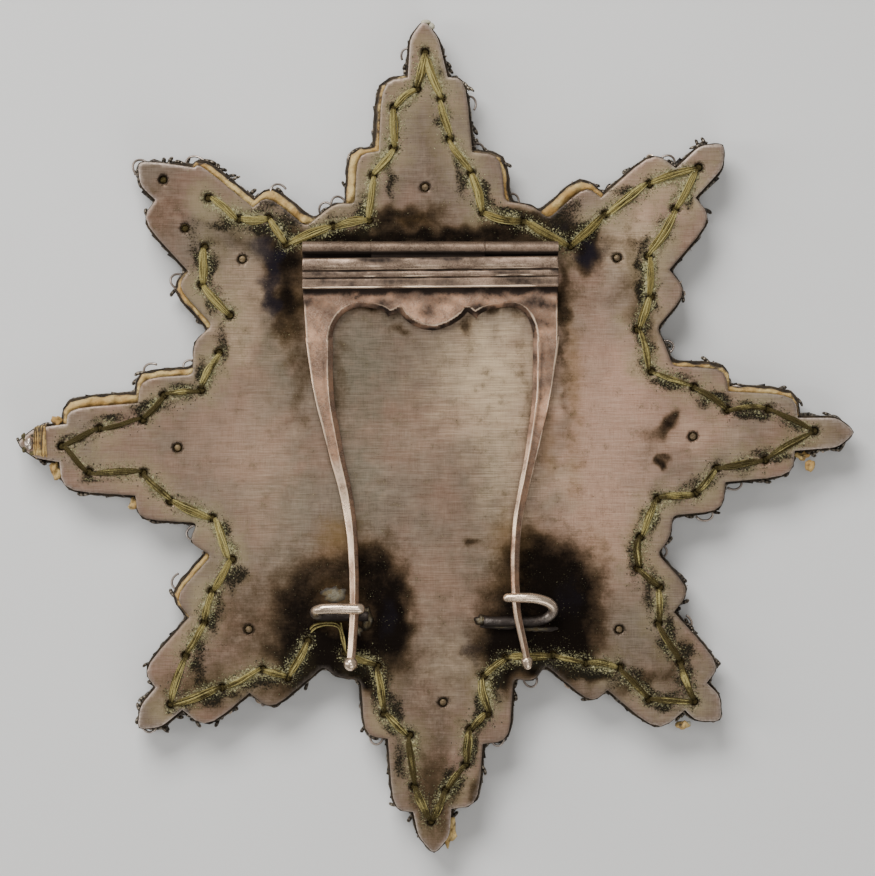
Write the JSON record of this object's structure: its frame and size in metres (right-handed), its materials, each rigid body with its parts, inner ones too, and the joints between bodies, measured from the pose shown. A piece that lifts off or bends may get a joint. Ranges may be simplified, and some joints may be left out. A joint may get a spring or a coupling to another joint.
{
  "type": "breast star",
  "caption": "Padded, embroidered breast star with stepped rays and a bare round centre, backed by a sewn-on metal plate with a hinged pin fork and wire catch hooks.",
  "frame": {"origin": "middle of the round centre's bare face, on which the star lies with its pin side up", "axes": "+Z out of the pin side, away from the embroidered front; +Y in the plate's plane, from the middle towards the hinge; +X to the right seen from the pin side"},
  "size_m": [0.0922, 0.0917, 0.008],
  "materials": {
    "plate_silver": "tarnished, brushed",
    "leather": "matt, cut edge",
    "metal_thread": "tarnished metal thread",
    "centre_metal": "worn satin",
    "fork_silver": "worn satin",
    "hook_silver": "worn bright"
  },
  "bodies": {
    "star": {"back_plate": "plate_silver", "leather_padding": "leather", "embroidered_star": "metal_thread", "centre_disc": "centre_metal", "hinge_base": "plate_silver", "hinge_pin": "fork_silver", "catch_hook_left": "hook_silver", "catch_hook_right": "hook_silver"},
    "fork": {"pin_fork": "fork_silver"}
  },
  "joints": [
    {"name": "fork_hinge", "type": "hinge", "parent": "star", "child": "fork", "pos_m": [-0.0004, 0.0212, 0.00595], "axis": [-1, 0, 0], "range_deg": [0, 110]}
  ]
}
